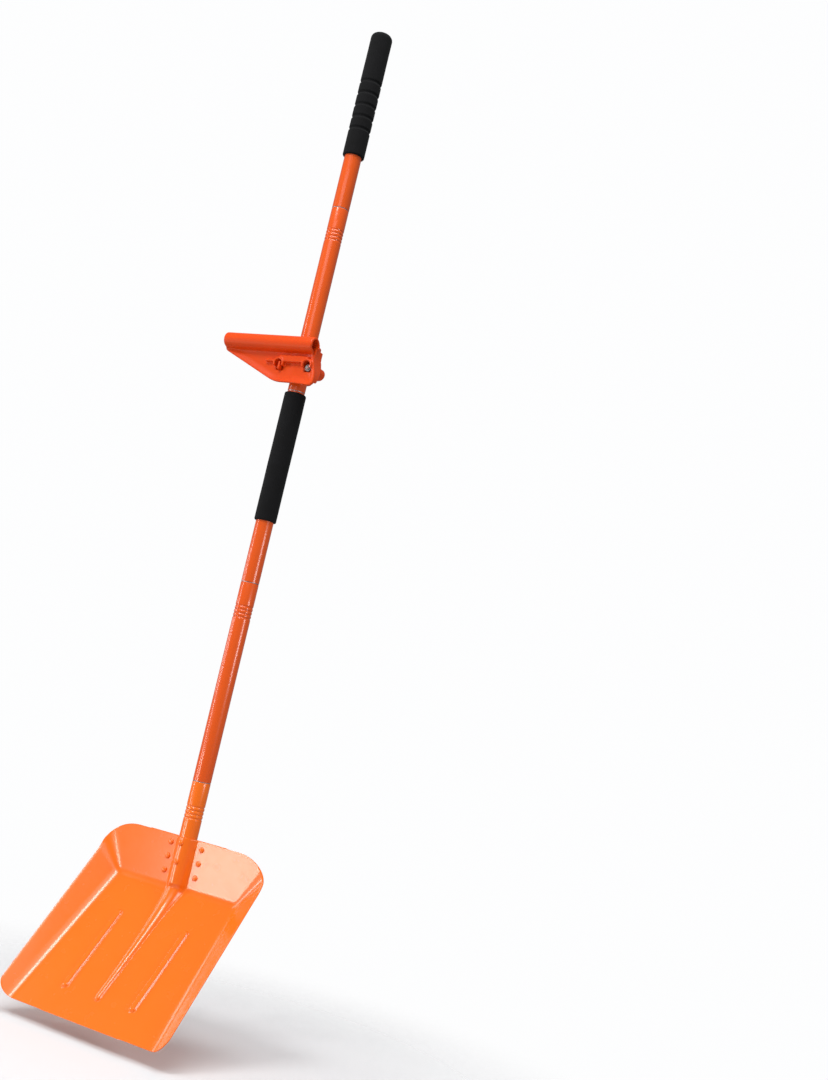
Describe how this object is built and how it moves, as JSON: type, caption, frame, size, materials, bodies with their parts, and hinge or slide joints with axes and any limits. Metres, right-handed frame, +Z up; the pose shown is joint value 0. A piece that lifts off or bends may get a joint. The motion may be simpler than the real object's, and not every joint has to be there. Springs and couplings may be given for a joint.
{
  "type": "avalanche shovel",
  "caption": "Avalanche shovel with a pressed pan blade on a long shaft that unscrews into sections, with foam grips and a clamp-on auxiliary handle.",
  "frame": {"origin": "centre of the shaft in the bare middle of its lowest section, where a wall clip holds it", "axes": "+Z up the shaft to the top grip, -Y towards the blade's load side, +X to the right seen from the front"},
  "size_m": [0.2772, 0.1572, 1.4259],
  "materials": {
    "blade_orange": "anodised orange, satin gloss",
    "shaft_orange": "anodised deep orange, satin gloss",
    "handle_plastic": "moulded plastic, semi-gloss",
    "black_foam": "closed-cell foam, matt",
    "black_plastic": "moulded, matt",
    "black_rubber": "matt",
    "bare_alloy": "turned",
    "zinc_steel": "zinc plated"
  },
  "bodies": {
    "lower_section": {"shaft_tube_1": "shaft_orange", "shaft_stud_1": "bare_alloy", "shaft_insert_1": "bare_alloy"},
    "socket_lead": {"socket_insert": "bare_alloy"},
    "blade": {"blade": "blade_orange", "back_strap": "blade_orange", "strap_rivets": "blade_orange", "socket_rivets": "blade_orange", "socket_tube": "blade_orange"},
    "second_lead": {"shaft_stud_2": "bare_alloy"},
    "second_section": {"shaft_tube_2": "shaft_orange", "shaft_insert_2": "bare_alloy", "mid_grip": "black_foam"},
    "third_lead": {"shaft_stud_3": "bare_alloy"},
    "third_section": {"shaft_tube_3": "shaft_orange", "shaft_insert_3": "bare_alloy"},
    "top_lead": {"shaft_stud_4": "bare_alloy"},
    "top_section": {"shaft_tube_4": "shaft_orange", "top_plug": "black_plastic", "top_grip": "black_foam"},
    "handle_liner": {"clamp_liner": "black_rubber"},
    "auxiliary_handle": {"handle_shell": "handle_plastic", "rear_clamp": "handle_plastic", "clamp_bolt": "zinc_steel", "clamp_nut": "zinc_steel", "clamp_washer": "zinc_steel"}
  },
  "joints": [
    {"name": "blade_joint_lift", "type": "slide", "parent": "lower_section", "child": "socket_lead", "axis": [0, 0, -1], "range_m": [0, 0.02]},
    {"name": "blade_joint_turn", "type": "hinge", "parent": "socket_lead", "child": "blade", "pos_m": [0, 0, -0.12], "axis": [0, 0, -1], "range_deg": [0, 1800]},
    {"name": "second_joint_lift", "type": "slide", "parent": "lower_section", "child": "second_lead", "axis": [0, 0, 1], "range_m": [0, 0.02]},
    {"name": "second_joint_turn", "type": "hinge", "parent": "second_lead", "child": "second_section", "pos_m": [0, 0, 0.158], "axis": [0, 0, 1], "range_deg": [0, 1800]},
    {"name": "third_joint_lift", "type": "slide", "parent": "second_section", "child": "third_lead", "axis": [0, 0, 1], "range_m": [0, 0.02]},
    {"name": "third_joint_turn", "type": "hinge", "parent": "third_lead", "child": "third_section", "pos_m": [0, 0, 0.436], "axis": [0, 0, 1], "range_deg": [0, 1800]},
    {"name": "top_joint_lift", "type": "slide", "parent": "third_section", "child": "top_lead", "axis": [0, 0, 1], "range_m": [0, 0.02]},
    {"name": "top_joint_turn", "type": "hinge", "parent": "top_lead", "child": "top_section", "pos_m": [0, 0, 0.714], "axis": [0, 0, 1], "range_deg": [0, 1800]},
    {"name": "handle_slide", "type": "slide", "parent": "third_section", "child": "handle_liner", "axis": [0, 0, 1], "range_m": [0, 0.19]},
    {"name": "handle_swivel", "type": "hinge", "parent": "handle_liner", "child": "auxiliary_handle", "pos_m": [0, 0, 0.476], "axis": [0, 0, 1], "continuous": true}
  ],
  "couplings": [
    {"joint": "blade_joint_turn", "follows": "blade_joint_lift", "rad_per_m": 1570.8},
    {"joint": "second_joint_turn", "follows": "second_joint_lift", "rad_per_m": 1570.8},
    {"joint": "third_joint_turn", "follows": "third_joint_lift", "rad_per_m": 1570.8},
    {"joint": "top_joint_turn", "follows": "top_joint_lift", "rad_per_m": 1570.8}
  ]
}
